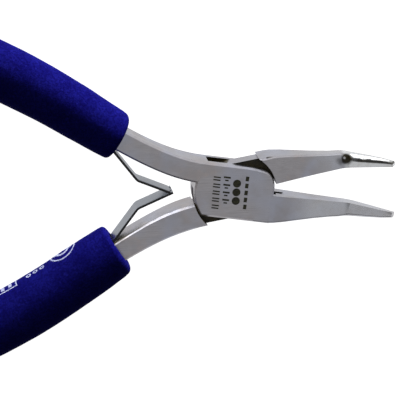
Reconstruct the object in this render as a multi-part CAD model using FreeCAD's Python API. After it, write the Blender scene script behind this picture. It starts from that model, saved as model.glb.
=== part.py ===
import FreeCAD, Part
import math
import os

# Bent-nose electronics pliers with a box joint and a double leaf return spring.
# Millimetres.  The origin is on the pivot's axis, at the flat back of the box; +Z
# points out of the front face and +X along the jaws.  Each half is drawn about the
# box's middle plane with the jaws shut, so that its gripping face lies on the XZ
# plane.  It is then turned about the pivot into the open rest position that the
# springs hold, and raised so that the back of the box is at zero height.

# joint
OPEN_HALF_DEG = 9.3
BOX_T = 7.2
SLOT_T = 3.7
SIDE_PLAY = 0.05
CHEEK_TOP_Y = 5.4
CHEEK_BOTTOM_Y = -6.0
CHEEK_BACK_R = 9.2
CHEEK_NOSE_X = 7.45
SLOT_R = 8.9
SLOT_FRONT_R = 8.3
INSERT_BACK_R = 8.7
INSERT_FRONT_R = 7.2
INSERT_EDGE_Y = 5.75
BACK_SHOULDER_R = 9.5
FRONT_SHOULDER_R = 8.05
SLOT_RUNOUT_T = 1.4
SLOT_RUNOUT_X = 10.2
BACK_WEB_Y = -0.85
PIN_R = 2.0
PIN_PLAY = 0.05

# jaws
FACE_GAP = 0.03
JAW_TIP_X = 32.5
TOE_IN = 0.33
BEND_X = 22.2
BEND_R = 5.0
BEND_DEG = 36.0
UPPER_ROOT_CORNER = 0.85
UPPER_TIP_ROUND = 0.94
# distance from the pivot, width, thickness, corner radius of the rounded back
JAW_SIZES = [(4.0, 5.95, 7.19, 0.45), (6.95, 5.95, 7.19, 0.45), (8.4, 5.86, 6.75, 0.5),
             (10.6, 5.5, 6.05, 0.5), (13.4, 4.92, 5.2, 0.5), (16.8, 4.2, 4.35, 0.5),
             (20.5, 3.5, 3.75, 0.5), (22.8, 3.22, 3.4, 0.6), (25.2, 2.9, 2.95, 1.0),
             (28.2, 2.3, 2.25, 0.85), (30.6, 1.75, 1.7, 0.65), (32.5, 1.15, 1.25, 0.45)]

# handles
HANDLE_T = 6.1
HANDLE_W = 4.4
UPPER_ROOT_EXTRA = 0.2
LOWER_ROOT_EXTRA = 0.7
BAR_TAPER = (6.2, 17.0)
EDGE_BEVEL = 0.4
HANDLE_END_LENGTH = 34.5
TANG_T = 4.0
TANG_W = 3.2
TANG_END_LENGTH = 89.0

# grips: length along the handle and radius there, from the mouth to the closed end
UPPER_GRIP = [(23.55, 5.08), (33.0, 5.45), (41.0, 5.67), (47.0, 5.8), (56.0, 5.92),
              (75.0, 5.95), (85.0, 5.85), (94.5, 5.6)]
LOWER_GRIP = [(24.2, 5.72), (30.0, 6.0), (47.0, 6.15), (61.0, 6.2), (75.0, 6.15),
              (85.0, 6.0), (94.5, 5.75)]
GRIP_PLAY = 0.06
GRIP_NOSE_ROUND = 1.3
GRIP_TAIL_ROUND = 4.6

# return springs and their rivets
LEAF_T = 0.5
LEAF_W = 5.0
LEAF_LIFT = 0.04
LEAF_TONGUE_W = 1.9
LEAF_FORK_W = 2.5
LEAF_CROSS = 0.35
LEAF_BEND_R = 0.45
LEAF_FOOT_LENGTHS = (33.4, 29.8, 25.1, 24.05)
LEAF_KNEE = (-21.06, -0.41)
LEAF_TIP = (-13.62, -2.23)
RIVET_LENGTH = 29.8
RIVET_R = 1.0
RIVET_HEAD_R = 1.7
RIVET_HEAD_H = 0.7

# centre line of the upper handle with the jaws shut, from the box backwards
HANDLE_LINE = [(-3.0, 2.98), (-8.0, 2.98), (-13.0, 3.5), (-19.0, 5.05), (-28.0, 8.55),
               (-42.0, 14.7), (-56.0, 19.6), (-72.0, 23.2), (-94.0, 25.4)]

Z = FreeCAD.Vector(0, 0, 1)


def vec(x, y, z=0.0):
    return FreeCAD.Vector(x, y, z)


def line(a, b):
    return Part.makeLine(a, b)


def arc(a, m, b):
    return Part.Arc(a, m, b).toShape()


def curve(points):
    """A smooth curve through a few points."""
    spline = Part.BSplineCurve()
    spline.interpolate(points)
    return spline.toShape()


def blended_curve(points, first_way, last_way):
    """A smooth curve through a few points with a set direction at each end."""
    spline = Part.BSplineCurve()
    spline.interpolate(Points=points, InitialTangent=first_way, FinalTangent=last_way)
    return spline.toShape()


def on_circle(radius, degrees, z=0.0):
    turn = math.radians(degrees)
    return vec(radius * math.cos(turn), radius * math.sin(turn), z)


def angle_at_y(radius, y):
    return math.degrees(math.asin(y / radius))


def mirrored(shape):
    """The same shape on the other side of the XZ plane."""
    return shape.mirror(vec(0, 0, 0), vec(0, 1, 0))


def opened(shape, side):
    """Turn a shut half into the rest position: side is +1 for the upper handle."""
    turned = shape.copy()
    turned.rotate(vec(0, 0, 0), Z, -side * OPEN_HALF_DEG)
    return turned


def plate(edges, thickness):
    """A flat plate of the given thickness, centred on the XY plane."""
    face = Part.Face(Part.Wire(edges))
    slab = face.extrude(Z * thickness)
    slab.translate(vec(0, 0, -thickness / 2.0))
    return slab


class HandleLine:
    """Positions along the handle's centre line, by length from the box."""

    def __init__(self):
        self.edge = curve([vec(x, y) for x, y in HANDLE_LINE])

    def frame(self, length):
        par = self.edge.getParameterByLength(length)
        point = self.edge.valueAt(par)
        along = self.edge.tangentAt(par)
        outward = vec(along.y, -along.x)
        return point, along, outward

    def beside(self, length, offset):
        """A point off the centre line: positive offsets lie on the outer side."""
        point, along, outward = self.frame(length)
        return point + outward * offset


LINE = HandleLine()


def bevelled_section(length, width, thickness, bevel, shift=0.0):
    """An eight-sided section square to the centre line, or shifted outwards."""
    point, along, outward = LINE.frame(length)
    point = point + outward * shift
    w = width / 2.0
    t = thickness / 2.0
    corners = [(w, t - bevel), (w - bevel, t), (bevel - w, t), (-w, t - bevel),
               (-w, bevel - t), (bevel - w, -t), (w - bevel, -t), (w, bevel - t)]
    points = [point + outward * a + Z * b for a, b in corners]
    return Part.makePolygon(points + points[:1])


def eased(x, x0, x1, low, high):
    """Pass smoothly from low at x0 to high at x1."""
    share = min(max((x - x0) / (x1 - x0), 0.0), 1.0)
    return low + (high - low) * share * share * (3.0 - 2.0 * share)


def steps(first, last, count):
    """Evenly spaced distances, both ends included."""
    return [first + (last - first) * i / count for i in range(count + 1)]


def tang(start, end, play):
    """The narrow tail of the handle, or the bore round it with some play."""
    lengths = steps(start, end, 11)
    sections = [bevelled_section(s, TANG_W + play, TANG_T + play, 0.3) for s in lengths]
    return Part.makeLoft(sections, True, True)


def handle_bar(extra):
    """The bare handle from the box to its narrow tang inside the grip.

    extra is how much wider the root is on its outer side."""
    lengths = [1.0] + steps(BAR_TAPER[0], BAR_TAPER[1], 9)
    lengths += steps(BAR_TAPER[1], HANDLE_END_LENGTH, 7)[1:]
    sections = []
    for length in lengths:
        more = eased(length, 8.0, 30.0, extra, 0.0)
        thick = eased(length, BAR_TAPER[0], BAR_TAPER[1], BOX_T - 0.01, HANDLE_T)
        sections.append(bevelled_section(length, HANDLE_W + more, thick, EDGE_BEVEL,
                                         more / 2.0))
    bar = Part.makeLoft(sections, True, True)
    return bar.fuse(tang(HANDLE_END_LENGTH - 1.0, TANG_END_LENGTH, 0.0))


def jaw_section(x, rise, tilt_deg, width, thickness, corner, reach):
    """A half-round section of the lower jaw: flat gripping face, rounded back.

    Each rounded corner takes corner off the thickness and reach off the width."""
    h = thickness / 2.0
    tilt = math.radians(tilt_deg)
    up = vec(-math.sin(tilt), 0, math.cos(tilt))
    down = vec(0, 0, 0) - up
    outward = vec(0, -1, 0)
    inward = vec(0, 1, 0)
    toe = TOE_IN * max(x - BEND_X, 0.0) / (JAW_TIP_X - BEND_X)
    centre = vec(x, toe - FACE_GAP, rise)

    def at(depth, height):
        return centre + outward * depth + up * height

    q = 1.0 - math.sqrt(0.5)
    front = [at(width - reach, h), at(width - reach * q, h - corner * q), at(width, h - corner)]
    rear = [at(width, corner - h), at(width - reach * q, corner * q - h), at(width - reach, -h)]
    edges = [
        line(at(0, -h), at(0, h)),
        line(at(0, h), front[0]),
        blended_curve(front, outward, down),
        line(front[-1], rear[0]),
        blended_curve(rear, down, inward),
        line(rear[-1], at(0, -h)),
    ]
    return Part.Wire(edges)


def bend_place(x):
    """Height and slope of the jaw's middle line: straight, a round bend, straight."""
    slope = math.radians(BEND_DEG)
    arc_run = BEND_R * math.sin(slope)
    if x <= BEND_X:
        return 0.0, 0.0
    if x <= BEND_X + arc_run:
        turn = math.asin((x - BEND_X) / BEND_R)
        return BEND_R * (1.0 - math.cos(turn)), math.degrees(turn)
    rise = BEND_R * (1.0 - math.cos(slope))
    return rise + (x - BEND_X - arc_run) * math.tan(slope), BEND_DEG


def jaw_size(x):
    """Width, thickness and corner radius of the jaw at a distance from the pivot."""
    for (x0, *low), (x1, *high) in zip(JAW_SIZES, JAW_SIZES[1:]):
        if x <= x1:
            share = (x - x0) / (x1 - x0)
            return [a + (b - a) * share for a, b in zip(low, high)]
    return JAW_SIZES[-1][1:]


def lower_jaw(root_corner, tip_round):
    """The jaw of the half whose handle is the upper one, with the jaws shut.

    root_corner is the least rounding of its back next to the box, and tip_round how
    nearly its back is a half circle past the bend, from 0 to 1.  There the two
    gripping faces lean together, so that the tips meet first."""
    bend_run = BEND_R * math.sin(math.radians(BEND_DEG))
    stations = [x for x, *size in JAW_SIZES if x < BEND_X]
    stations += steps(BEND_X, BEND_X + bend_run, 8)
    stations += [x for x, *size in JAW_SIZES if x > BEND_X + bend_run + 0.6]
    sections = []
    for x in stations:
        rise, tilt = bend_place(x)
        width, thickness, corner = jaw_size(x)
        corner = max(corner, eased(x, 6.95, 10.6, root_corner, 0.0))
        reach = max(corner, eased(x, BEND_X, BEND_X + 3.0, 0.0, tip_round * width))
        corner = max(corner, eased(x, BEND_X, BEND_X + 3.0, 0.0, tip_round * thickness / 2.0))
        sections.append(jaw_section(x, rise, tilt, width, thickness, corner, reach))
    return Part.makeLoft(sections, True, True)


def bevelled_plate(edges, thickness, bevel):
    """A plate with a bevel round its front and back outlines."""
    slab = plate(edges, thickness)
    rims = [e for e in slab.Edges if abs(abs(e.CenterOfMass.z) - thickness / 2.0) < 1e-6]
    return slab.makeChamfer(bevel, rims)


def cheek_edges():
    """The outline that both cheeks of the box share."""
    low = angle_at_y(CHEEK_BACK_R, CHEEK_BOTTOM_Y)
    back_low = on_circle(CHEEK_BACK_R, 180.0 - low)
    back_high = on_circle(CHEEK_BACK_R, 180.0 - angle_at_y(CHEEK_BACK_R, 1.0))
    back_mid = on_circle(CHEEK_BACK_R, 197.0)
    top_back = vec(-7.3, CHEEK_TOP_Y)
    top_front = vec(1.2, CHEEK_TOP_Y)
    nose_end = vec(CHEEK_NOSE_X, 1.4)
    nose = [top_front, vec(3.4, 5.25), vec(5.4, 4.9), vec(6.55, 4.1), vec(7.15, 3.0), nose_end]
    foot = vec(CHEEK_NOSE_X, CHEEK_BOTTOM_Y)
    return [
        arc(back_low, back_mid, back_high),
        line(back_high, top_back),
        line(top_back, top_front),
        blended_curve(nose, vec(3, 0), vec(0, -3)),
        line(nose_end, foot),
        line(foot, back_low),
    ]


def sector(radius, start_deg, sweep_deg, low_z, high_z):
    """A slice of a round disc about the pivot."""
    disc = Part.makeCylinder(radius, high_z - low_z, vec(0, 0, low_z), Z, sweep_deg)
    disc.rotate(vec(0, 0, 0), Z, start_deg)
    return disc


def box_half():
    """Upper handle, both cheeks of the box and the lower jaw."""
    body = bevelled_plate(cheek_edges(), BOX_T, EDGE_BEVEL)
    body = body.fuse(handle_bar(UPPER_ROOT_EXTRA)).fuse(lower_jaw(0.0, 0.0))
    half_slot = SLOT_T / 2.0
    body = body.cut(sector(SLOT_R, 90.0, 180.0, -half_slot, half_slot))
    body = body.cut(sector(SLOT_FRONT_R, -90.0, 180.0, -half_slot, half_slot))
    runout = plate([line(vec(7.0, 1.0), vec(SLOT_RUNOUT_X, -FACE_GAP + 0.01)),
                    line(vec(SLOT_RUNOUT_X, -FACE_GAP + 0.01), vec(7.0, -2.0)),
                    line(vec(7.0, -2.0), vec(7.0, 1.0))], SLOT_RUNOUT_T)
    back_window = plate([line(vec(-9.9, BACK_WEB_Y), vec(-6.0, BACK_WEB_Y)),
                         line(vec(-6.0, BACK_WEB_Y), vec(-6.0, -6.5)),
                         line(vec(-6.0, -6.5), vec(-9.9, -6.5)),
                         line(vec(-9.9, -6.5), vec(-9.9, BACK_WEB_Y))], SLOT_T)
    body = body.cut(runout).cut(back_window)
    body = body.cut(Part.makeCylinder(PIN_R, BOX_T + 2, vec(0, 0, -BOX_T / 2.0 - 1)))
    body = body.cut(rivet_hole())
    return body.removeSplitter()


def insert_edges():
    """The middle part of the other half, which passes through the box."""
    y = INSERT_EDGE_Y
    back_top = on_circle(INSERT_BACK_R, 180.0 - angle_at_y(INSERT_BACK_R, y))
    back_low = on_circle(INSERT_BACK_R, 180.0 - angle_at_y(INSERT_BACK_R, -1.0))
    handle_in = vec(-9.9, -1.0)
    handle_out = vec(-9.9, -y)
    front_low = on_circle(INSERT_FRONT_R, angle_at_y(INSERT_FRONT_R, -y))
    front_end = on_circle(INSERT_FRONT_R, 5.0)
    jaw_in = vec(8.1, 0.85)
    jaw_out = vec(9.0, 0.85)
    jaw_top = vec(9.0, y - 0.9)
    return [
        arc(back_top, on_circle(INSERT_BACK_R, 165.0), back_low),
        line(back_low, handle_in),
        line(handle_in, handle_out),
        line(handle_out, vec(front_low.x, -y)),
        arc(front_low, on_circle(INSERT_FRONT_R, -25.0), front_end),
        line(front_end, jaw_in),
        line(jaw_in, jaw_out),
        line(jaw_out, jaw_top),
        line(jaw_top, vec(6.9, y)),
        line(vec(6.9, y), back_top),
    ]


def jaw_root():
    """Full-thickness root of the upper jaw in front of its round shoulder."""
    edges = [
        line(vec(4.9, INSERT_EDGE_Y), vec(7.2, INSERT_EDGE_Y - 0.02)),
        line(vec(7.2, INSERT_EDGE_Y - 0.02), vec(10.0, 5.2)),
        line(vec(10.0, 5.2), vec(10.0, FACE_GAP)),
        line(vec(10.0, FACE_GAP), vec(8.85, FACE_GAP)),
        arc(vec(8.85, FACE_GAP), vec(8.3, 0.26), vec(8.0, 0.8)),
        line(vec(8.0, 0.8), vec(4.9, INSERT_EDGE_Y)),
    ]
    return plate(edges, 5.4)


def insert_half():
    """Lower handle, the middle part in the box and the upper jaw."""
    thickness = SLOT_T - 2.0 * SIDE_PLAY
    upper_jaw = mirrored(lower_jaw(UPPER_ROOT_CORNER, UPPER_TIP_ROUND))
    full = mirrored(handle_bar(LOWER_ROOT_EXTRA)).fuse(upper_jaw).fuse(jaw_root())
    full = full.cut(sector(BACK_SHOULDER_R, 90.0, 180.0, -9.0, 9.0))
    full = full.cut(sector(FRONT_SHOULDER_R, -90.0, 180.0, -9.0, 9.0))
    body = full.fuse(plate(insert_edges(), thickness))
    body = body.cut(Part.makeCylinder(PIN_R + PIN_PLAY, 12, vec(0, 0, -6)))
    body = body.cut(mirrored(rivet_hole()))
    return body.removeSplitter()


def rivet_hole():
    """The blind hole for a rivet, square to the handle's inner face."""
    point, along, outward = LINE.frame(RIVET_LENGTH)
    mouth = point - outward * (HANDLE_W / 2.0 + 0.5)
    return Part.makeCylinder(RIVET_R, 3.5, mouth, outward)


def spring_rivet():
    """A round-headed rivet that holds a leaf against the handle."""
    point, along, outward = LINE.frame(RIVET_LENGTH)
    seat = point - outward * (HANDLE_W / 2.0 + LEAF_LIFT + LEAF_T + 0.02)
    foot = point - outward * (HANDLE_W / 2.0)
    stem_length = (seat - foot).Length + 2.9
    stem = Part.makeCylinder(RIVET_R - 0.005, stem_length, seat, outward)
    head = Part.makeCylinder(RIVET_HEAD_R, RIVET_HEAD_H, seat, outward * -1.0)
    rims = [e for e in head.Edges if e.CenterOfMass.distanceToPoint(seat) > RIVET_HEAD_H - 0.01
            and e.Curve.TypeId == "Part::GeomCircle"]
    return head.makeFillet(0.4, rims).fuse(stem).removeSplitter()


def leaf_line():
    """Middle line of the upper leaf with the handle shut but the leaf unstressed."""
    gap = -(HANDLE_W / 2.0 + LEAF_LIFT + LEAF_T / 2.0)
    on_handle = [LINE.beside(s, gap) for s in LEAF_FOOT_LENGTHS]
    return on_handle + [vec(*LEAF_KNEE), vec(*LEAF_TIP)]


def leaf_hinge():
    """The middle of the leaf's round bend at the grip's mouth, which it flexes about."""
    points = leaf_line()[2:5]
    before = points[1] - points[0]
    after = points[2] - points[1]
    before.normalize()
    after.normalize()
    middle = before + after
    middle.normalize()
    half_turn = math.acos(before.dot(after)) / 2.0
    reach = (LEAF_BEND_R + LEAF_T / 2.0) / math.cos(half_turn)
    return points[1] + vec(middle.y, -middle.x) * reach


def rounded_bend(strip, inner, outer):
    """Round both faces of a strip about one centre, at the corners of a bend."""
    for corner, radius in ((inner, LEAF_BEND_R), (outer, LEAF_BEND_R + LEAF_T)):
        rims = [e for e in strip.Edges
                if abs(e.CenterOfMass.z) < 0.01 and e.Length > LEAF_W - 0.01
                and math.hypot(e.CenterOfMass.x - corner.x, e.CenterOfMass.y - corner.y) < 0.01]
        strip = strip.makeFillet(radius, rims)
    return strip


def leaf_spring(tongue):
    """A bent strip; its end is a tongue, or a fork that the tongue passes through."""
    points = leaf_line()
    last = points[-1] - points[-2]
    last.normalize()
    points[-1] = points[-1] + last * LEAF_CROSS
    left = []
    right = []
    for i, p in enumerate(points):
        a = points[max(i - 1, 0)]
        b = points[min(i + 1, len(points) - 1)]
        before = (p - a) if i > 0 else (b - p)
        after = (b - p) if i < len(points) - 1 else (p - a)
        before.normalize()
        after.normalize()
        middle = before + after
        middle.normalize()
        side = vec(-middle.y, middle.x)
        reach = LEAF_T / 2.0 / math.sqrt((1.0 + before.dot(after)) / 2.0)
        left.append(p + side * reach)
        right.append(p - side * reach)
    ring = left + right[::-1]
    strip = plate(list(Part.makePolygon(ring + ring[:1]).Edges), LEAF_W)
    root, knee = 3, 4
    strip = rounded_bend(strip, right[root], left[root])
    strip = rounded_bend(strip, left[knee], right[knee])
    tip = points[-1]
    cut_from = tip - last * (LEAF_CROSS * 2.0 + 0.3)
    side = vec(-last.y, last.x)

    def block(z_low, z_high):
        base = [cut_from - side * 2, cut_from + side * 2]
        corners = base + [base[1] + last * 4, base[0] + last * 4]
        face = Part.Face(Part.makePolygon([c + Z * z_low for c in corners + corners[:1]]))
        return face.extrude(Z * (z_high - z_low))

    if tongue:
        strip = strip.cut(block(LEAF_TONGUE_W / 2.0, LEAF_W))
        strip = strip.cut(block(-LEAF_W, -LEAF_TONGUE_W / 2.0))
    else:
        strip = strip.cut(block(-LEAF_FORK_W / 2.0, LEAF_FORK_W / 2.0))
    point, along, outward = LINE.frame(RIVET_LENGTH)
    hole = Part.makeCylinder(RIVET_R + 0.01, 8, point - outward * 6, outward)
    return strip.cut(hole)


def round_section(length, radius):
    point, along, outward = LINE.frame(length)
    return Part.Wire(Part.makeCircle(radius, point, along))


def grip(stations):
    """A cushion sleeve on the upper handle, closed at its far end."""
    start = stations[0][0]
    sleeve = Part.makeLoft([round_section(s, r) for s, r in stations], True, False)
    nose = LINE.frame(start)[0]
    tail = LINE.frame(stations[-1][0])[0]
    for place, radius in ((nose, GRIP_NOSE_ROUND), (tail, GRIP_TAIL_ROUND)):
        rims = [e for e in sleeve.Edges if e.Closed
                and e.CenterOfMass.distanceToPoint(place) < 0.5]
        sleeve = sleeve.makeFillet(radius, rims)
    play = 2.0 * GRIP_PLAY
    lengths = steps(start - 1.0, HANDLE_END_LENGTH + 0.3, 6)
    wide = [bevelled_section(s, HANDLE_W + LOWER_ROOT_EXTRA * 0.3 + play, HANDLE_T + play, 0.3)
            for s in lengths]
    narrow = tang(HANDLE_END_LENGTH - 0.5, TANG_END_LENGTH + 0.3, play)
    bore = Part.makeLoft(wide, True, True).fuse(narrow)
    return sleeve.cut(bore).cut(spring_pocket(start))


def spring_pocket(start):
    """Room for the leaf's foot and the rivet head, under a grip with this mouth."""
    inner = HANDLE_W / 2.0 - 0.5
    outer = HANDLE_W / 2.0 + LEAF_T + 0.25
    half = LEAF_W / 2.0 + 0.1
    sections = []
    for s, flare in ((start - 1.0, 0.35), (29.0, 0.0), (33.8, 0.0)):
        point, along, outward = LINE.frame(s)
        deep = outer + flare
        corners = [(inner, half), (deep, half), (deep, -half), (inner, -half)]
        points = [point - outward * a + Z * b for a, b in corners]
        sections.append(Part.makePolygon(points + points[:1]))
    foot = Part.makeLoft(sections, True, False)
    point, along, outward = LINE.frame(RIVET_LENGTH)
    seat = point - outward * inner
    head = Part.makeCylinder(RIVET_HEAD_R + 0.15, 2.2, seat, outward * -1.0)
    return foot.fuse(head)


def pivot_pin():
    """A plain pin, pressed into both cheeks and ground flush with them."""
    return Part.makeCylinder(PIN_R, BOX_T, vec(0, 0, -BOX_T / 2.0))


def main():
    os.makedirs("parts", exist_ok=True)
    shapes = {
        "box_half": opened(box_half(), 1),
        "insert_half": opened(insert_half(), -1),
        "pivot_pin": pivot_pin(),
        "upper_leaf_spring": opened(leaf_spring(True), 1),
        "lower_leaf_spring": opened(mirrored(leaf_spring(False)), -1),
        "upper_spring_rivet": opened(spring_rivet(), 1),
        "lower_spring_rivet": opened(mirrored(spring_rivet()), -1),
        "upper_grip": opened(grip(UPPER_GRIP), 1),
        "lower_grip": opened(mirrored(grip(LOWER_GRIP)), -1),
    }
    for name, shape in shapes.items():
        solid = shape.Solids[0] if shape.Solids else shape
        solid.translate(vec(0, 0, BOX_T / 2.0))
        box = solid.BoundBox
        print("%-20s solids %d valid %s volume %.2f  x %.2f..%.2f  y %.2f..%.2f  z %.2f..%.2f" % (
            name, len(shape.Solids), solid.isValid(), solid.Volume,
            box.XMin, box.XMax, box.YMin, box.YMax, box.ZMin, box.ZMax))
        solid.exportStep("parts/%s.step" % name)
    hinge = opened(Part.Vertex(leaf_hinge()), 1).Point
    print("the upper leaf flexes about x %.4f y %.4f" % (hinge.x, hinge.y))


main()
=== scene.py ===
import math

import bmesh
import bpy
import numpy as np
from mathutils import Matrix, Vector, noise


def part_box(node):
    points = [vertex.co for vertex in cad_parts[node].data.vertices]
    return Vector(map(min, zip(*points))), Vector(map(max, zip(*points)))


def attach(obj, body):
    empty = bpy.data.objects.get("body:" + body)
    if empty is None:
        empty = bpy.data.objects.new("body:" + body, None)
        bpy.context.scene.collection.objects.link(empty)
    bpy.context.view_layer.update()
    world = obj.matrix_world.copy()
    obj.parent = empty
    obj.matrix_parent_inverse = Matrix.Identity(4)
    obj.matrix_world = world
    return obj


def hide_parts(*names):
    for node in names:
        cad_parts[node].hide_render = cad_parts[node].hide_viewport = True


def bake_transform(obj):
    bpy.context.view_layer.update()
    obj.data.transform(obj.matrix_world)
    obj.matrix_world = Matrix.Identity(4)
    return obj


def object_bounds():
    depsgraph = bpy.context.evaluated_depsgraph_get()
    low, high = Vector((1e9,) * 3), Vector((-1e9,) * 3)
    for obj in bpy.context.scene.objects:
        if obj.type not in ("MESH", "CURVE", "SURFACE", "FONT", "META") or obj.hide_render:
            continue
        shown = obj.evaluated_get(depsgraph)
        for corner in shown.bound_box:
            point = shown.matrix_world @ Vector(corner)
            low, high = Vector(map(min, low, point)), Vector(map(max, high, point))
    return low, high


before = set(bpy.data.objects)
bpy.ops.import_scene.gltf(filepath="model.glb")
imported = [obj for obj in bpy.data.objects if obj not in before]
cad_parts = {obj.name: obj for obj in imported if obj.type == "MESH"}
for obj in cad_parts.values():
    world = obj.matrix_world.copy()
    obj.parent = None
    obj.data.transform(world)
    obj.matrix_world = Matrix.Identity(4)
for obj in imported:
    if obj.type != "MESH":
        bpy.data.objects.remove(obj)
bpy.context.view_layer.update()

# Everything below is drawn in millimetres about the pivot, in the plane of the box's
# middle, with the jaws shut, as the upper half; place() turns it into the row frame in
# metres, with side +1 for the upper handle's half and -1 for its mirrored partner.
MM = 0.001
MID_Z = (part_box("pivot_pin")[0].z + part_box("pivot_pin")[1].z) / 2.0 / MM
OPEN_HALF = math.radians(9.3)
SIDES = {"upper": 1, "lower": -1}
BODY = {"upper": "box_side", "lower": "insert_side"}

# the box, the slot through it, the half that passes through, and the jaws' bend
BOX_T = 7.2
SLOT_T = 3.7
INSERT_T = 3.6
SLOT_RADII = (8.9, 8.3)
SHOULDER_RADII = (9.5, 8.05)
BEND_X = 22.2

# handles, leaf springs and grips; a grip is its (length along the handle, radius) pairs
HANDLE_LINE = [(-3.0, 2.98), (-8.0, 2.98), (-13.0, 3.5), (-19.0, 5.05), (-28.0, 8.55),
               (-42.0, 14.7), (-56.0, 19.6), (-72.0, 23.2), (-94.0, 25.4)]
HANDLE_W = 4.4
LEAF_T = 0.5
LEAF_W = 5.0
LEAF_GAP = 0.04
LEAF_TONGUE = 1.9
LEAF_FORK = 2.5
LEAF_CROSS = 0.35
LEAF_BEND = (-21.06, -0.41)
LEAF_TIP = (-13.62, -2.23)
LEAF_FOOT_LENGTHS = (33.4, 24.05)
GRIPS = {"upper": [(23.55, 5.08), (33.0, 5.45), (41.0, 5.67), (47.0, 5.8), (56.0, 5.92),
                   (75.0, 5.95), (85.0, 5.85), (94.5, 5.6)],
         "lower": [(24.2, 5.72), (30.0, 6.0), (47.0, 6.15), (61.0, 6.2), (75.0, 6.15),
                   (85.0, 6.0), (94.5, 5.75)]}


# ---------------------------------------------------------------- geometry helpers

def turned(x, y, side):
    """A point of the shut upper half, in the rest position of either half."""
    c, s = math.cos(-OPEN_HALF), math.sin(-OPEN_HALF)
    return x * c - y * s, (x * s + y * c) * side


def place(point, side):
    x, y = turned(point[0], point[1], side)
    return Vector((x * MM, y * MM, (point[2] + MID_Z) * MM))


class HandleLine:
    """The handle's centre line as a smooth cubic, read by its length."""

    def __init__(self, points):
        p = np.array(points, float)
        t = np.concatenate([[0.0], np.cumsum(np.linalg.norm(np.diff(p, axis=0), axis=1))])
        n = len(p)
        a = np.zeros((n, n))
        b = np.zeros((n, 2))
        a[0, 0] = a[-1, -1] = 1.0
        for i in range(1, n - 1):
            h0, h1 = t[i] - t[i - 1], t[i + 1] - t[i]
            a[i, i - 1:i + 2] = h0, 2.0 * (h0 + h1), h1
            b[i] = 6.0 * ((p[i + 1] - p[i]) / h1 - (p[i] - p[i - 1]) / h0)
        m = np.linalg.solve(a, b)
        fine = np.linspace(0.0, t[-1], 2400)
        k = np.clip(np.searchsorted(t, fine) - 1, 0, n - 2)
        h = (t[k + 1] - t[k])[:, None]
        u = (t[k + 1] - fine)[:, None]
        v = (fine - t[k])[:, None]
        self.xy = (m[k] * u ** 3 / (6 * h) + m[k + 1] * v ** 3 / (6 * h)
                   + (p[k] / h - m[k] * h / 6) * u + (p[k + 1] / h - m[k + 1] * h / 6) * v)
        step = np.linalg.norm(np.diff(self.xy, axis=0), axis=1)
        self.length = np.concatenate([[0.0], np.cumsum(step)])

    def frame(self, s):
        """Position, direction away from the box, and the outward side at length s."""
        x = np.interp(s, self.length, self.xy[:, 0])
        y = np.interp(s, self.length, self.xy[:, 1])
        x1 = np.interp(s + 0.2, self.length, self.xy[:, 0])
        y1 = np.interp(s + 0.2, self.length, self.xy[:, 1])
        along = Vector((x1 - x, y1 - y)).normalized()
        return Vector((x, y)), along, Vector((along.y, -along.x))

    def beside(self, s, offset):
        point, along, outward = self.frame(s)
        return point + outward * offset


LINE = HandleLine(HANDLE_LINE)


def mesh_object(name, verts, faces, smooth=True):
    mesh = bpy.data.meshes.new(name)
    mesh.from_pydata([tuple(v) for v in verts], [], faces)
    mesh.validate()
    mesh.update()
    bm = bmesh.new()
    bm.from_mesh(mesh)
    bmesh.ops.recalc_face_normals(bm, faces=bm.faces)
    for f in bm.faces:
        f.smooth = smooth
    bm.to_mesh(mesh)
    bm.free()
    obj = bpy.data.objects.new(name, mesh)
    bpy.context.scene.collection.objects.link(obj)
    return obj


# ---------------------------------------------------------------- material helpers

class Nodes:
    """A short way to write node trees."""

    def __init__(self, tree):
        self.tree = tree

    def add(self, kind, **settings):
        node = self.tree.nodes.new(kind)
        inputs = settings.pop("inputs", {})
        for key, value in settings.items():
            setattr(node, key, value)
        for key, value in inputs.items():
            self.put(node.inputs[key], value)
        return node

    def put(self, socket, value):
        if isinstance(value, bpy.types.NodeSocket):
            self.tree.links.new(value, socket)
        elif isinstance(value, bpy.types.Node):
            self.tree.links.new(value.outputs[0], socket)
        else:
            socket.default_value = value

    def math(self, operation, a, b=0.0, clamp=False):
        node = self.add("ShaderNodeMath", operation=operation, use_clamp=clamp)
        self.put(node.inputs[0], a)
        self.put(node.inputs[1], b)
        return node.outputs[0]

    def ramp(self, value, low, high, out_low=0.0, out_high=1.0):
        node = self.add("ShaderNodeMapRange", interpolation_type="SMOOTHSTEP")
        for key, v in zip(range(5), (value, low, high, out_low, out_high)):
            self.put(node.inputs[key], v)
        return node.outputs[0]

    def mix(self, share, a, b):
        node = self.add("ShaderNodeMix", data_type="RGBA")
        self.put(node.inputs[0], share)
        self.put(node.inputs[6], a)
        self.put(node.inputs[7], b)
        return node.outputs[2]

    def noise(self, vector, scale, detail=3.0, rough=0.55):
        node = self.add("ShaderNodeTexNoise", inputs={
            "Vector": vector, "Scale": scale, "Detail": detail, "Roughness": rough})
        return node.outputs["Fac"]

    def stretched(self, vector, factors):
        node = self.add("ShaderNodeMapping", inputs={"Vector": vector, "Scale": factors})
        return node.outputs[0]

    def bump(self, height, strength, distance, normal=None):
        node = self.add("ShaderNodeBump", inputs={
            "Height": height, "Strength": strength, "Distance": distance})
        if normal is not None:
            self.put(node.inputs["Normal"], normal)
        return node.outputs[0]


def new_material(name):
    mat = bpy.data.materials.new(name)
    mat.use_nodes = True
    tree = mat.node_tree
    tree.nodes.clear()
    n = Nodes(tree)
    out = n.add("ShaderNodeOutputMaterial")
    shader = n.add("ShaderNodeBsdfPrincipled")
    tree.links.new(shader.outputs[0], out.inputs[0])
    coords = n.add("ShaderNodeTexCoord").outputs["Object"]
    return mat, n, shader, coords


# the two tones of the dark skin that heat treatment leaves; the steel also paints shade and dark
# reflections with them
OLIVE = ((0.006, 0.005, 0.002, 1), (0.038, 0.029, 0.009, 1))


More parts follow.
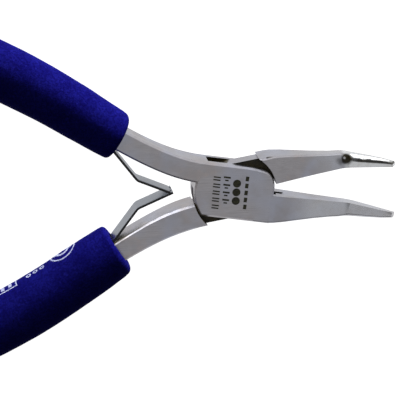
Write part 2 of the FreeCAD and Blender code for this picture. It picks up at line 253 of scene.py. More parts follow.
def ramp_along(n, co, direction, low, high, most=1.0):
    """0 to most between two distances, in millimetres, along a direction in the row frame."""
    dot = n.add("ShaderNodeVectorMath", operation="DOT_PRODUCT",
                inputs={0: co, 1: tuple(direction)}).outputs["Value"]
    return n.ramp(dot, low * MM, high * MM, 0.0, most)


def spot(n, co, centre, low, high):
    """1 at a point fading to 0 between two distances in millimetres."""
    gap = n.add("ShaderNodeVectorMath", operation="DISTANCE",
                inputs={0: co, 1: tuple(centre)}).outputs["Value"]
    return n.ramp(gap, low * MM, high * MM, 1.0, 0.0)


STEEL_TINT = (0.490, 0.474, 0.500)
STEEL_ROUGH = 0.34


def steel_material(name, finish_and_painted_light):
    """Stainless steel with a ground satin grain and faint warm, cool and dark patches.

    The function passed in returns how polished and how oxidised the steel is, each from 0 to 1; the
    first also carries painted highlights, the second painted shade and painted dark reflections."""
    mat, n, shader, co = new_material(name)
    streaks = n.noise(n.stretched(co, (260.0, 9000.0, 5200.0)), 1.0, 4.0, 0.6)
    fine = n.noise(n.stretched(co, (1400.0, 22000.0, 14000.0)), 1.0, 2.0, 0.5)
    cloud = n.noise(co, 200.0, 3.0, 0.6)
    patch = n.noise(co, 620.0, 2.0, 0.5)
    red, green, blue = STEEL_TINT
    light = (red * 1.10, green * 1.10, blue * 1.10, 1.0)
    dark = (red * 0.84, green * 0.84, blue * 0.84, 1.0)
    tone = n.mix(n.ramp(streaks, 0.30, 0.70), dark, light)
    warm = (red * 1.08, green * 0.98, blue * 0.90, 1.0)
    cool = (red * 0.98, green * 1.05, blue * 1.18, 1.0)
    drift = n.noise(co, 110.0, 2.0, 0.5)
    shade = n.noise(co, 190.0, 3.0, 0.55)
    tone = n.mix(n.ramp(cloud, 0.47, 0.64, 0.0, 0.85), tone, warm)
    tone = n.mix(n.ramp(drift, 0.38, 0.60, 0.0, 0.85), tone, cool)
    tone = n.mix(n.ramp(shade, 0.42, 0.68, 0.0, 0.7), tone, dark)
    r = n.ramp(streaks, 0.25, 0.75, STEEL_ROUGH - 0.06, STEEL_ROUGH + 0.07)
    r = n.math("ADD", r, n.ramp(patch, 0.35, 0.7, -0.03, 0.04))
    polish_and_painted_highlight, oxide_and_painted_shade = finish_and_painted_light(n, co)
    smear = n.noise(co, 900.0, 3.0, 0.6)
    bright = n.mix(n.ramp(smear, 0.35, 0.75), (0.90, 0.92, 0.95, 1), (0.81, 0.805, 0.80, 1))
    # painted highlights come in with the polished colour, and painted shade and dark reflections
    # with the olive skin tones
    tone = n.mix(polish_and_painted_highlight, tone, bright)
    tone = n.mix(oxide_and_painted_shade, tone, n.mix(n.ramp(smear, 0.3, 0.7), *OLIVE))
    shine = n.ramp(smear, 0.4, 0.8, 0.10, 0.17)
    blend = n.add("ShaderNodeMix", data_type="FLOAT", inputs={0: polish_and_painted_highlight, 2: r, 3: shine})
    n.put(shader.inputs["Metallic"], n.ramp(oxide_and_painted_shade, 0.0, 1.0, 1.0, 0.45))
    n.put(shader.inputs["Base Color"], tone)
    n.put(shader.inputs["Roughness"], blend.outputs[0])
    n.put(shader.inputs["Anisotropic"], 0.25)
    strength = n.math("SUBTRACT", 1.0, n.math("MULTIPLY", polish_and_painted_highlight, 0.85))
    first = n.bump(fine, n.math("MULTIPLY", strength, 0.16), 0.00002)
    second = n.bump(streaks, n.math("MULTIPLY", strength, 0.20), 0.00003, first)
    n.put(shader.inputs["Normal"], n.bump(cloud, 0.06, 0.00020, second))
    return mat


def upper_jaw_polish_and_painted_light(n, co):
    """The jaw is polished past its bend, and darker in a few places: a spot on the bend with a
    painted highlight in it, its edge in the box's window, a painted dark reflection along the tip,
    and painted shade and reflection on the handle.
    """
    way = Vector((math.cos(OPEN_HALF), math.sin(OPEN_HALF), 0.0))
    polish_and_painted_highlight = ramp_along(n, co, way, BEND_X + 0.3, BEND_X + 1.5)
    polish_and_painted_highlight = n.math("MAXIMUM", polish_and_painted_highlight, ramp_along(n, co, way, 14.0, 21.0, 0.22))
    oxide_and_painted_shade = n.math("MAXIMUM", bend_dark_spot(n, co), back_edge_dark(n, co))
    oxide_and_painted_shade = n.math("MAXIMUM", oxide_and_painted_shade, front_edge_painted_reflection(n, co, way))
    return polish_and_painted_highlight, n.math("MAXIMUM", oxide_and_painted_shade, handle_shade(n, co))


# where the dark spot lies on the front of the bend, and its reach from there, with the reach of the
# painted highlight in it
DARK_SPOT = (BEND_X + 1.25, -1.95, 2.0)
DARK_SPOT_REACH = (0.90, 1.65)
DARK_SPOT_TAIL_REACH = (0.25, 1.35)
PAINTED_GLINT_REACH = (0.22, 0.50)


def bend_dark_spot(n, co):
    """A round dark spot on the bend, with a fainter tail and one bare bright speck in it that is a
    painted highlight.
    """
    heel = place(DARK_SPOT, -1)
    wobble = n.noise(co, 520.0, 1.0, 0.4)
    sway = n.add("ShaderNodeCombineXYZ", inputs={
        0: n.ramp(wobble, 0.3, 0.7, -0.00018, 0.00018),
        1: n.ramp(wobble, 0.3, 0.7, 0.00015, -0.00015)})
    bent = n.add("ShaderNodeVectorMath", operation="ADD", inputs={0: co, 1: sway}).outputs[0]
    dark_spot = spot(n, bent, heel + Vector((0.15, 0.0, 0.0)) * MM, *DARK_SPOT_REACH)
    tail = spot(n, bent, heel + Vector((-0.95, -0.45, 0.0)) * MM, *DARK_SPOT_TAIL_REACH)
    dark_spot = n.math("MAXIMUM", dark_spot, n.math("MULTIPLY", tail, 0.6))
    # painted highlight: the spot is cleared here down to the bright polished steel
    painted_glint = spot(n, co, heel + Vector((-0.25, 0.25, 0.0)) * MM, *PAINTED_GLINT_REACH)
    return n.math("SUBTRACT", dark_spot, painted_glint, clamp=True)


def back_edge_dark(n, co):
    """Darker colour on the part of this half's outer edge that shows through the window in the box.
    """
    lean = 0.32
    end = 1.7 - lean * MID_Z
    window = ramp_along(n, co, (-1.0, 0.0, -lean), end - 0.25, end + 0.25)
    outer = ramp_along(n, co, (0.0, 1.0, 0.0), 4.3, 4.5)
    return n.math("MULTIPLY", window, outer)


def front_edge_painted_reflection(n, co, way):
    """A painted dark reflection: a dark line past the bend, above the front face, closing on the
    tip.
    """
    slant = Vector((-way.y, way.x, 0.0)) + way * 0.125
    line = n.math("SUBTRACT", ramp_along(n, co, slant, 4.18, 4.42),
                  ramp_along(n, co, slant, 4.78, 4.98))
    past = ramp_along(n, co, way, BEND_X + 2.2, BEND_X + 3.6)
    return n.math("MULTIPLY", n.math("MULTIPLY", line, past), 0.88)


# lengths along the lower handle where the painted dark reflection on its lip starts and ends, and
# the height of it
LIP_FROM = 11.0
LIP_TO = 22.5
LIP_LOW = (5.75, 6.05)
LIP_HIGH = (6.36, 6.48)


def handle_shade(n, co):
    """Painted shade beside the leaf's root, and a painted dark reflection running out along the lip
    of the bevel.
    """
    near_box, near_mouth = LINE.frame(LIP_FROM)[0], LINE.frame(LIP_TO)[0]
    a = place((near_box.x, near_box.y, 0.0), -1)
    b = place((near_mouth.x, near_mouth.y, 0.0), -1)
    along = (b - a).normalized()
    inward = Vector((-along.y, along.x, 0.0))
    if inward.y < 0:
        inward.negate()
    level = a.dot(inward) / MM
    inner = ramp_along(n, co, inward, level + 0.6, level + 1.1)
    reach = ramp_along(n, co, along, a.dot(along) / MM, b.dot(along) / MM)
    low = ramp_along(n, co, (0.0, 0.0, 1.0), *LIP_LOW)
    high = ramp_along(n, co, (0.0, 0.0, 1.0), *LIP_HIGH)
    lip = n.math("MULTIPLY", low, n.math("SUBTRACT", 1.0, high))
    lip = n.math("MULTIPLY", lip, n.math("MULTIPLY", inner, reach))
    # painted shade at the leaf's root
    root = LINE.beside(22.6, -2.6)
    return n.math("MAXIMUM", lip, spot(n, co, place((root.x, root.y, 1.6), -1), 0.7, 2.1))


def lower_jaw_painted_highlight(n, co):
    """Painted highlight: the front face brightens a little from the jaw's root on; its sides from
    the bend.
    """
    way = Vector((math.cos(OPEN_HALF), -math.sin(OPEN_HALF), 0.0))
    normal = n.add("ShaderNodeNewGeometry").outputs["Normal"]
    height = n.add("ShaderNodeSeparateXYZ", inputs={0: normal}).outputs[2]
    front = n.math("MAXIMUM", n.ramp(height, 0.3, 0.7), ramp_along(n, co, way, 20.0, 23.5, 0.8))
    return n.math("MULTIPLY", ramp_along(n, co, way, 10.5, 17.5, 0.38), front), 0.0


def oxide_material():
    """The dark heat-treatment skin left inside the joint."""
    mat, n, shader, co = new_material("oxide_skin")
    cloud = n.noise(co, 500.0, 4.0, 0.65)
    grit = n.noise(co, 5200.0, 3.0, 0.6)
    tone = n.mix(n.ramp(cloud, 0.36, 0.66), *OLIVE)
    tone = n.mix(n.ramp(grit, 0.55, 0.8, 0.0, 0.6), tone, (0.07, 0.055, 0.024, 1))
    n.put(shader.inputs["Base Color"], tone)
    n.put(shader.inputs["Metallic"], 0.35)
    n.put(shader.inputs["Roughness"], n.ramp(grit, 0.3, 0.7, 0.38, 0.62))
    n.put(shader.inputs["Normal"], n.bump(grit, 0.5, 0.00004))
    return mat


def spring_material():
    """Rolled spring strip: bluish grey with a fine lengthwise grain."""
    mat, n, shader, co = new_material("spring_strip")
    streaks = n.noise(n.stretched(co, (700.0, 700.0, 12000.0)), 1.0, 3.0, 0.6)
    cloud = n.noise(co, 500.0, 3.0, 0.6)
    tone = n.mix(n.ramp(streaks, 0.3, 0.7), (0.28, 0.305, 0.345, 1), (0.39, 0.415, 0.46, 1))
    tone = n.mix(n.ramp(cloud, 0.5, 0.8, 0.0, 0.5), tone, (0.30, 0.285, 0.30, 1))
    n.put(shader.inputs["Base Color"], tone)
    n.put(shader.inputs["Metallic"], 1.0)
    n.put(shader.inputs["Roughness"], n.ramp(streaks, 0.25, 0.75, 0.30, 0.42))
    n.put(shader.inputs["Normal"], n.bump(streaks, 0.12, 0.00002))
    return mat


def edge_material():
    """The sheared, blackened edges of the spring strip."""
    mat, n, shader, co = new_material("strip_edge")
    grit = n.noise(co, 6000.0, 3.0, 0.6)
    n.put(shader.inputs["Base Color"], n.mix(grit, (0.010, 0.010, 0.011, 1), (0.05, 0.05, 0.05, 1)))
    n.put(shader.inputs["Metallic"], 0.5)
    n.put(shader.inputs["Roughness"], n.ramp(grit, 0.3, 0.7, 0.40, 0.6))
    n.put(shader.inputs["Normal"], n.bump(grit, 0.4, 0.00003))
    return mat


def foam_material():
    """Fine closed-cell foam, deep blue, with open cells at its skin, their hollows darkened as
    painted shade.
    """
    mat, n, shader, co = new_material("blue_foam")
    cells = n.add("ShaderNodeTexVoronoi", inputs={"Vector": co, "Scale": 3600.0})
    pores = n.add("ShaderNodeTexVoronoi", inputs={"Vector": co, "Scale": 1500.0})
    cloud = n.noise(co, 260.0, 4.0, 0.6)
    mottle = n.noise(co, 1500.0, 3.0, 0.6)
    tone = n.mix(n.ramp(cloud, 0.35, 0.68), (0.005, 0.0045, 0.125, 1), (0.008, 0.008, 0.170, 1))
    grain = n.noise(co, 2200.0, 2.0, 0.6)
    tone = n.mix(n.ramp(mottle, 0.50, 0.68, 0.0, 0.6), tone, (0.013, 0.013, 0.23, 1))
    tone = n.mix(n.ramp(grain, 0.46, 0.58, 0.0, 0.62), tone, (0.003, 0.002, 0.070, 1))
    # painted shade: each open cell darkens towards its middle
    pit = n.ramp(pores.outputs["Distance"], 0.02, 0.16)
    tone = n.mix(pit, (0.002, 0.001, 0.04, 1), tone)
    n.put(shader.inputs["Base Color"], tone)
    n.put(shader.inputs["Roughness"], n.ramp(mottle, 0.3, 0.7, 0.72, 0.88))
    n.put(shader.inputs["Specular IOR Level"], 0.04)
    n.put(shader.inputs["Sheen Weight"], 0.08)
    n.put(shader.inputs["Sheen Roughness"], 0.35)
    n.put(shader.inputs["Sheen Tint"], (0.03, 0.03, 0.85, 1.0))
    small = n.bump(cells.outputs["Distance"], 0.45, 0.00006)
    n.put(shader.inputs["Normal"], n.bump(pit, 0.5, 0.00007,
                                          n.bump(mottle, 0.25, 0.00010, small)))
    return mat


def print_material():
    """Pale screen print, thin enough for the foam's grain to break it up."""
    mat, n, shader, co = new_material("pale_print")
    mottle = n.noise(co, 3200.0, 3.0, 0.6)
    tone = n.mix(n.ramp(mottle, 0.42, 0.62), (0.30, 0.33, 0.62, 1), (0.72, 0.76, 0.93, 1))
    n.put(shader.inputs["Base Color"], tone)
    n.put(shader.inputs["Roughness"], 0.6)
    n.put(shader.inputs["Normal"], n.bump(mottle, 0.3, 0.00005))
    return mat


def etch_material():
    """Electro-etched marking: dark olive, slightly rough."""
    mat, n, shader, co = new_material("etched_mark")
    mottle = n.noise(co, 2600.0, 3.0, 0.6)
    tone = n.mix(n.ramp(mottle, 0.38, 0.66), (0.012, 0.012, 0.006, 1), (0.050, 0.050, 0.022, 1))
    n.put(shader.inputs["Base Color"], tone)
    n.put(shader.inputs["Metallic"], 0.3)
    n.put(shader.inputs["Roughness"], 0.5)
    n.put(shader.inputs["Normal"], n.bump(mottle, 0.3, 0.00003))
    return mat


def slot_finish(n, co):
    """The slot's faces are dark except at the box's rear edge, where they are ground."""
    back = ramp_along(n, co, (-1.0, 0.0, 0.0), 7.6, 8.2)
    low = ramp_along(n, co, (0.0, -1.0, 0.0), -2.0, -1.6)
    return 0.0, n.math("SUBTRACT", 1.0, n.math("MULTIPLY", back, low))


# this steel carries a painted highlight on the lower jaw
STEEL = steel_material("satin_steel_with_painted_highlight", lower_jaw_painted_highlight)
SLOT_SKIN = steel_material("slot_skin", slot_finish)
# this steel carries painted highlights, painted shade and painted dark reflections
JAW_STEEL = steel_material("satin_and_polished_steel_with_painted_light", upper_jaw_polish_and_painted_light)
OXIDE = oxide_material()
SPRING = spring_material()
STRIP_EDGE = edge_material()
FOAM = foam_material()
PRINT = print_material()
ETCH = etch_material()


# ---------------------------------------------------------------- the steel halves

def in_joint(side, centre, normal):
    """True for the faces that keep their dark skin: the slot and what faces it."""
    x, y, z = centre.x / MM, centre.y / MM, centre.z / MM - MID_Z
    radius = math.hypot(x, y)
    flat = abs(normal.z) > 0.9
    if side == "upper":
        runout = x > 6.5 and abs(y) < 2.6 and radius < 10.8 and abs(z) < 0.9 and normal.y < 0.9
        slot_face = flat and radius < 9.3 and abs(z) < SLOT_T / 2 + 0.05
        wall = abs(z) < SLOT_T / 2 + 0.05 and min(abs(radius - r) for r in SLOT_RADII) < 0.08
        return runout or slot_face or wall
    recess = flat and radius < 9.6 and abs(abs(z) - INSERT_T / 2) < 0.06
    wall = min(abs(radius - r) for r in SHOULDER_RADII) < 0.08 and not flat
    return recess or (wall and abs(z) > INSERT_T / 2 - 0.05)


def dress_half(node, side):
    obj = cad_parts[node]
    mesh = obj.data
    mesh.materials.clear()
    for mat in (STEEL, SLOT_SKIN) if side == "upper" else (JAW_STEEL, OXIDE):
        mesh.materials.append(mat)
    for poly in mesh.polygons:
        poly.use_smooth = True
        poly.material_index = 1 if in_joint(side, poly.center, poly.normal) else 0
    weld = obj.modifiers.new("weld", "WELD")
    weld.merge_threshold = 2e-6
    soften = obj.modifiers.new("soften", "BEVEL")
    soften.width = 0.00007
    soften.segments = 2
    soften.limit_method = "ANGLE"
    soften.angle_limit = math.radians(32)
    soften.use_clamp_overlap = True
    weighted = obj.modifiers.new("weighted", "WEIGHTED_NORMAL")
    weighted.keep_sharp = False
    return obj


dress_half("box_half", "upper")
dress_half("insert_half", "lower")
for name in ("pivot_pin", "upper_spring_rivet", "lower_spring_rivet"):
    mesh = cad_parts[name].data
    mesh.materials.clear()
    mesh.materials.append(STEEL)


# ---------------------------------------------------------------- the leaf springs

def leaf_path():
    """Middle line of the upper leaf as a list of points, with its bends rounded."""
    gap = -(HANDLE_W / 2 + LEAF_GAP + LEAF_T / 2)
    foot = [LINE.beside(s, gap) for s in np.linspace(*LEAF_FOOT_LENGTHS, 14)]
    bend, tip = Vector(LEAF_BEND), Vector(LEAF_TIP)
    tip = tip + (tip - bend).normalized() * LEAF_CROSS
    corners = foot + [bend, tip]
    path = [corners[0]]
    for i in range(1, len(corners) - 1):
        a, b, c = corners[i - 1], corners[i], corners[i + 1]
        angle = (b - a).angle(c - b)
        if angle < math.radians(8):
            path.append(b)
            continue
        cut = min(0.5, (b - a).length * 0.45, (c - b).length * 0.45)
        if i == len(foot) - 1:
            cut = 0.35
            while len(path) > 1 and (path[-1] - b).length < cut:
                path.pop()
        p, q = b + (a - b).normalized() * cut, b + (c - b).normalized() * cut
        for t in np.linspace(0, 1, 9):
            path.append(p * (1 - t) ** 2 + b * (2 * t * (1 - t)) + q * t ** 2)
    path.append(corners[-1])
    dense = [path[0]]
    for a, b in zip(path, path[1:]):
        count = max(1, int((b - a).length / 0.35))
        dense += [a.lerp(b, k / count) for k in range(1, count + 1)]
    return dense


def leaf_spring(which):
    side = SIDES[which]
    path = leaf_path()
    widths = [-LEAF_W / 2, -1.9, -LEAF_FORK / 2, -LEAF_TONGUE / 2, 0.0,
              LEAF_TONGUE / 2, LEAF_FORK / 2, 1.9, LEAF_W / 2]
    end_length = LEAF_CROSS * 2 + 0.3
    run = [0.0]
    for a, b in zip(path, path[1:]):
        run.append(run[-1] + (b - a).length)
    near_end = [total > run[-1] - end_length for total in run]
    verts = [place((p.x, p.y, w), side) for p in path for w in widths]
    faces = []
    n = len(widths)
    for i in range(len(path) - 1):
        for j in range(n - 1):
            middle = abs(widths[j] + widths[j + 1]) / 2
            if near_end[i]:
                if which == "upper" and middle > LEAF_TONGUE / 2:
                    continue
                if which == "lower" and middle < LEAF_FORK / 2:
                    continue
            faces.append((i * n + j, i * n + j + 1, (i + 1) * n + j + 1, (i + 1) * n + j))
    obj = mesh_object(which + "_leaf", verts, faces)
    bm = bmesh.new()
    bm.from_mesh(obj.data)
    loose = [v for v in bm.verts if not v.link_faces]
    bmesh.ops.delete(bm, geom=loose, context="VERTS")
    bm.to_mesh(obj.data)
    bm.free()
    obj.data.materials.append(SPRING)
    obj.data.materials.append(STRIP_EDGE)
    thick = obj.modifiers.new("thick", "SOLIDIFY")
    thick.thickness = LEAF_T * MM
    thick.offset = 0.0
    thick.use_even_offset = True
    thick.material_offset_rim = 1
    soften = obj.modifiers.new("soften", "BEVEL")
    soften.width = 0.00006
    soften.segments = 2
    soften.limit_method = "ANGLE"
    soften.angle_limit = math.radians(40)
    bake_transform(obj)
    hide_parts(which + "_leaf_spring")
    return obj


for which in SIDES:
    leaf_spring(which)


# ---------------------------------------------------------------- the foam grips

MOUTH_HALF_IN = 2.9
MOUTH_HALF_OUT = 2.3
MOUTH_HALF_Z = 3.15
NOSE_ROUND_IN = 0.8
NOSE_ROUND_OUT = 1.6
TAIL_ROUND = 4.6


def grip_radius(which, s):
    keys = [k for k, r in GRIPS[which]]
    return float(np.interp(s, keys, [r for k, r in GRIPS[which]]))


def mouth_radius(phi):
    """The hole's edge hugs the handle and the leaf beside it."""
    c, s = math.cos(phi), math.sin(phi)
    half = MOUTH_HALF_OUT if c > 0 else MOUTH_HALF_IN
    power = 5.0
    return ((abs(c) / half) ** power + (abs(s) / MOUTH_HALF_Z) ** power) ** (-1.0 / power)


def grip_profile(which, phi):
    """(length, radius) from inside the mouth to the tail, in one direction round it.

    The cut front edge is crisper on the inner side than on the outer one."""
    start, end = GRIPS[which][0][0], GRIPS[which][-1][0]
    hole = mouth_radius(phi)
    soft = (NOSE_ROUND_OUT + NOSE_ROUND_IN) / 2
    soft += (NOSE_ROUND_OUT - NOSE_ROUND_IN) / 2 * math.cos(phi)
    rows = [(start + 2.5, hole), (start + 1.0, hole), (start + 0.45, hole + 0.05),
            (start + 0.16, hole + 0.18)]
    r = grip_radius(which, start)
    for share in (0.12, 0.3, 0.5, 0.7, 0.86):
        bulge = 0.12 * (1 - (2 * share - 1) ** 2)
        rows.append((start + 0.05 - bulge, hole * (1 - share) + (r - soft) * share))
    for k in range(15):
        a = math.radians(90.0 * k / 14)
        rows.append((start + soft * (1 - math.cos(a)), r - soft * (1 - math.sin(a))))
    first, last = start + soft, end - TAIL_ROUND
    for s in np.linspace(first, last, 130)[1:]:
        rows.append((float(s), grip_radius(which, s)))
    r = grip_radius(which, last)
    for k in range(1, 20):
        a = math.radians(90.0 * k / 19)
        rows.append((last + TAIL_ROUND * math.sin(a), r - TAIL_ROUND * (1 - math.cos(a))))
    for share in (0.75, 0.5, 0.25):
        rows.append((end, (r - TAIL_ROUND) * share))
    return rows


def grip_point(s, radius, phi, lift=0.0):
    """A point on a grip; phi is 0 on the outer side and goes round over the front."""
    point, along, outward = LINE.frame(s)
    flat = outward * (math.cos(phi) * (radius + lift))
    return (point.x + flat.x, point.y + flat.y, math.sin(phi) * (radius + lift))


def soft_swell(s, phi, side):
    """A gentle unevenness in the foam's skin, under a tenth of a millimetre."""
    where = Vector((s * 0.16, math.cos(phi) * 1.1, math.sin(phi) * 1.1 + side * 5.0))
    return 0.07 * noise.noise(where) + 0.02 * noise.noise(where * 4.0)


def grip(which):
    side = SIDES[which]
    around = 112
    columns = []
    for k in range(around):
        phi = 2 * math.pi * k / around
        column = []
        for s, radius in grip_profile(which, phi):
            swell = soft_swell(s, phi, side) * min(1.0, max(0.0, radius / 2.0 - 1.6))
            column.append(place(grip_point(s, radius + swell, phi), side))
        columns.append(column)
    count = len(columns[0])
    verts = [column[i] for i in range(count) for column in columns]
    faces = []
    for i in range(count - 1):
        for k in range(around):
            a, b = i * around + k, i * around + (k + 1) % around
            faces.append((a, b, b + around, a + around))
    tail = len(verts)
    verts.append(place(grip_point(GRIPS[which][-1][0], 0.0, 0.0), side))
    last = (count - 1) * around
    for k in range(around):
        faces.append((last + k, last + (k + 1) % around, tail))
    obj = mesh_object(which + "_foam_grip", verts, faces)
    obj.data.materials.append(FOAM)
    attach(obj, BODY[which])
    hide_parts(which + "_grip")
    return obj


for which in SIDES:
    grip(which)


# ---------------------------------------------------------------- generic markings

def ring_shape(cx, cy, outer, inner, parts):
    """A flat ring, or a disc if inner is 0, as a list of four-cornered pieces."""
    shape = []
    for k in range(parts):
        a0 = math.radians(360.0 * k / parts)
        a1 = math.radians(360.0 * (k + 1) / parts)
        quad = [(outer, a0), (outer, a1), (inner, a1), (inner, a0)]
        shape.append([(cx + r * math.cos(a), cy + r * math.sin(a)) for r, a in quad])
    return shape


def bar_shape(x0, y0, x1, y1, parts=8):
    """A rectangle cut into strips, so that it can follow a round surface."""
    shape = []
    for i in range(parts):
        for j in range(parts):
            xs = [x0 + (x1 - x0) * (i + k) / parts for k in (0, 1)]
            ys = [y0 + (y1 - y0) * (j + k) / parts for k in (0, 1)]
            shape.append([(xs[0], ys[0]), (xs[1], ys[0]), (xs[1], ys[1]), (xs[0], ys[1])])
    return shape


def frame_shape(x0, y0, x1, y1, line):
    return (bar_shape(x0, y0, x1, y0 + line) + bar_shape(x0, y1 - line, x1, y1)
            + bar_shape(x0, y0, x0 + line, y1) + bar_shape(x1 - line, y0, x1, y1))


def decal(name, shape, to_surface, material, body):
    verts, faces = [], []
    for quad in shape:
        base = len(verts)
        verts += [to_surface(x, y) for x, y in quad]
        faces.append((base, base + 1, base + 2, base + 3))
    obj = mesh_object(name, verts, faces)
    bm = bmesh.new()
    bm.from_mesh(obj.data)
    bmesh.ops.remove_doubles(bm, verts=bm.verts, dist=1e-7)
    bmesh.ops.recalc_face_normals(bm, faces=bm.faces)
    bm.to_mesh(obj.data)
    bm.free()
    obj.data.materials.append(material)
    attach(obj, body)
    return obj


# the print is centred this far round the lower grip's inner side; both kinds of mark lie
# on the surface with a hair's thickness of air below them
PRINT_PHI = math.radians(-5.0)
PRINT_LIFT = 0.025
ETCH_LIFT = 0.006


def on_lower_grip(x, y):
    """x runs back along the grip from its mouth, y round it from the printed side."""
    s = GRIPS["lower"][0][0] + x
    radius = grip_radius("lower", s)
    phi = math.pi - PRINT_PHI + y / radius
    r = radius + soft_swell(s, phi, -1)
    return place(grip_point(s, r, phi, PRINT_LIFT), -1)


# generic print on the lower grip: a ringed disc, three small rings, bars in a frame
print_marks = ring_shape(9.95, 0.0, 3.1, 2.75, 64)
print_marks += ring_shape(9.95, 0.0, 1.6, 1.0, 40)
print_marks += bar_shape(7.75, -0.3, 8.75, 0.3) + bar_shape(11.15, -0.3, 12.15, 0.3)
for k in range(3):
    print_marks += ring_shape(15.35 + 1.7 * k, -1.15, 0.62, 0.30, 24)
print_marks += frame_shape(21.75, -2.2, 31.0, 1.2, 0.30)
for k in range(4):
    print_marks += bar_shape(23.0 + 1.8 * k, -1.4, 23.8 + 1.8 * k, 0.3)
decal("grip_print", print_marks, on_lower_grip, PRINT, "insert_side")


def on_box_front(x, y):
    """x runs towards the jaws from the pivot, y towards the upper handle's outer side."""
    box_x, box_y = turned(x, y, 1)
    return Vector((box_x * MM, box_y * MM, (MID_Z + BOX_T / 2 + ETCH_LIFT) * MM))


# generic etching on the box: two columns of short strokes, three discs, a row of bars
etched = []
for k in range(5):
    top = 2.75 - 1.5 * k
    left = -5.65 + 0.13 * k
    etched += bar_shape(left, top - 0.28, left + 1.5, top, 2)
    etched += bar_shape(left, top - 0.86, left + 1.5, top - 0.58, 2)
for k in range(4):
    top = 3.0 - 1.6 * k
    left = -3.55 + 0.14 * k
    etched += bar_shape(left, top - 0.38, left + 1.45, top, 2)
    etched += bar_shape(left + 0.35, top - 0.98, left + 1.1, top - 0.68, 2)
for k in range(3):
    etched += ring_shape(-0.6 + 0.16 * k, 1.75 - 1.85 * k, 0.85, 0.0, 32)
for k in range(5):
    top = 3.5 - 1.5 * k
    left = 1.05 + 0.1 * k
    etched += bar_shape(left, top - 1.0, left + 0.7, top, 2)
decal("box_etching", etched, on_box_front, ETCH, "box_side")


# ---------------------------------------------------------------- stage and light

# The floor glows for the camera, is a soft grey sheet in the steel's reflections and
# throws only a little light up under the foam.
floor_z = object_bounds()[0].z
floor_mesh = bpy.data.meshes.new("floor")
floor_mesh.from_pydata([(-3, -3, floor_z), (3, -3, floor_z), (3, 3, floor_z), (-3, 3, floor_z)],
                       [], [(0, 1, 2, 3)])
floor = bpy.data.objects.new("floor", floor_mesh)
bpy.context.scene.collection.objects.link(floor)
mat = bpy.data.materials.new("pale_floor")
mat.use_nodes = True
mat.node_tree.nodes.clear()
n = Nodes(mat.node_tree)
lit = n.add("ShaderNodeBsdfDiffuse", inputs={"Color": (0.93, 0.93, 0.93, 1)})
glow = n.add("ShaderNodeEmission", inputs={"Color": (1, 1, 1, 1), "Strength": 1.02})
seen = n.add("ShaderNodeAddShader", inputs={0: lit, 1: glow})
dull = n.add("ShaderNodeAddShader", inputs={
    0: n.add("ShaderNodeBsdfDiffuse", inputs={"Color": (0.22, 0.22, 0.23, 1)}),
    1: n.add("ShaderNodeEmission", inputs={"Color": (1, 1, 1, 1), "Strength": 0.06})})
sheet = n.add("ShaderNodeEmission", inputs={"Color": (1, 1, 1, 1), "Strength": 0.78})
path = n.add("ShaderNodeLightPath")
other = n.add("ShaderNodeMixShader", inputs={0: path.outputs["Is Glossy Ray"], 1: dull, 2: sheet})
both = n.add("ShaderNodeMixShader", inputs={0: path.outputs["Is Camera Ray"], 1: other, 2: seen})
out = n.add("ShaderNodeOutputMaterial", inputs={0: both})
floor_mesh.materials.append(mat)

world = bpy.data.worlds.new("studio")
bpy.context.scene.world = world
world.use_nodes = True
world.node_tree.nodes.clear()
n = Nodes(world.node_tree)
way = n.add("ShaderNodeTexCoord").outputs["Generated"]


def facing(direction, far, near, amount):
    """A soft patch of light in one direction of the studio, edges given in degrees."""
    d = Vector(direction).normalized()
    dot = n.add("ShaderNodeVectorMath", operation="DOT_PRODUCT",
                inputs={0: way, 1: tuple(d)}).outputs["Value"]
    return n.ramp(dot, math.cos(math.radians(far)), math.cos(math.radians(near)), 0.0, amount)


# A dim studio with soft patches of light: direction, outer and inner edge, brightness.
total = 0.17
for patch in [((-0.68, 0.69, 0.24), 37, 14, 2.9),
              ((0.28, 0.92, 0.22), 50, 22, 0.75),
              ((0.10, -0.25, 0.95), 50, 10, 0.30),
              ((-0.87, -0.28, 0.41), 40, 18, 0.33),
              ((1.0, 0.2, 0.5), 50, 15, 0.20)]:
    total = n.math("ADD", total, facing(*patch))
# A dark screen beside the brightest patch draws the dark streak on the polished tip.
total = n.math("SUBTRACT", total, facing((-0.87, 0.32, 0.36), 24, 14, 2.0))
total = n.math("MAXIMUM", total, 0.02)
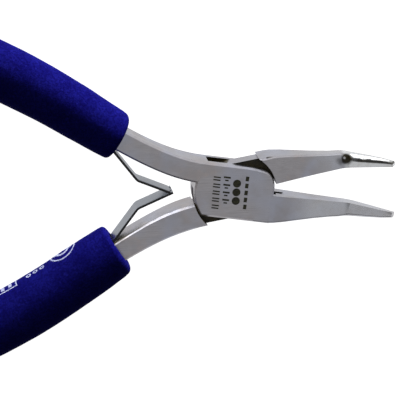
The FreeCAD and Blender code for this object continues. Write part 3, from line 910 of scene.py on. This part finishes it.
# The foam sees much less of the studio than the steel reflects.
diffuse = n.add("ShaderNodeLightPath").outputs["Is Diffuse Ray"]
total = n.math("MULTIPLY", total, n.ramp(diffuse, 0.0, 1.0, 1.0, 0.155))
sky = n.add("ShaderNodeBackground", inputs={"Color": (1, 1, 1, 1), "Strength": total})
n.add("ShaderNodeOutputWorld", inputs={0: sky})


# A low lamp far beyond the upper handle rakes across the foam and is not reflected.
lamp = bpy.data.lights.new("key", "AREA")
lamp.shape = "SQUARE"
lamp.size = 0.16
lamp.energy = 8.8
lamp.use_shadow = False
key = bpy.data.objects.new("key", lamp)
key.location = (0.26, 0.65, -0.035)
key.rotation_euler = (-key.location).to_track_quat("-Z", "Y").to_euler()
key.visible_glossy = False
bpy.context.scene.collection.objects.link(key)

# The camera looks almost straight down at the front face, tilted by TILT towards the
# upper handle's outer side, and is turned a little about its own axis.  It uses a long
# lens.  AIM is where it looks, from the pivot, along the picture's right and up.
TILT = math.radians(17.5)
TILT_WAY = math.radians(116.0)
ROLL = math.radians(1.4)
VIEW_WIDTH = 83.333
AIM = (-7.5, -2.604)
LENS = 200.0
SENSOR = 36.0

d = np.array([math.cos(TILT_WAY), math.sin(TILT_WAY)])
flatten = np.eye(2) - (1 - math.cos(TILT)) * np.outer(d, d)
roll = np.array([[math.cos(ROLL), -math.sin(ROLL)], [math.sin(ROLL), math.cos(ROLL)]])
plane = flatten @ roll
right = Vector((plane[0, 0], plane[0, 1], -math.sin(TILT) * d[0]))
up = Vector((plane[1, 0], plane[1, 1], -math.sin(TILT) * d[1]))
back = right.cross(up)
cam = bpy.data.cameras.new("camera")
cam.lens = LENS
cam.sensor_width = SENSOR
cam.clip_start, cam.clip_end = 0.01, 10.0
camera = bpy.data.objects.new("camera", cam)
bpy.context.scene.collection.objects.link(camera)
target = Vector((0, 0, MID_Z * MM)) + (right * AIM[0] + up * AIM[1]) * MM
camera.location = target + back * (VIEW_WIDTH * MM * LENS / SENSOR)
axes = Matrix((right, up, back)).transposed()
camera.rotation_mode = "QUATERNION"
camera.rotation_quaternion = axes.to_quaternion()
bpy.context.scene.camera = camera
bpy.context.scene.view_settings.view_transform = "Standard"
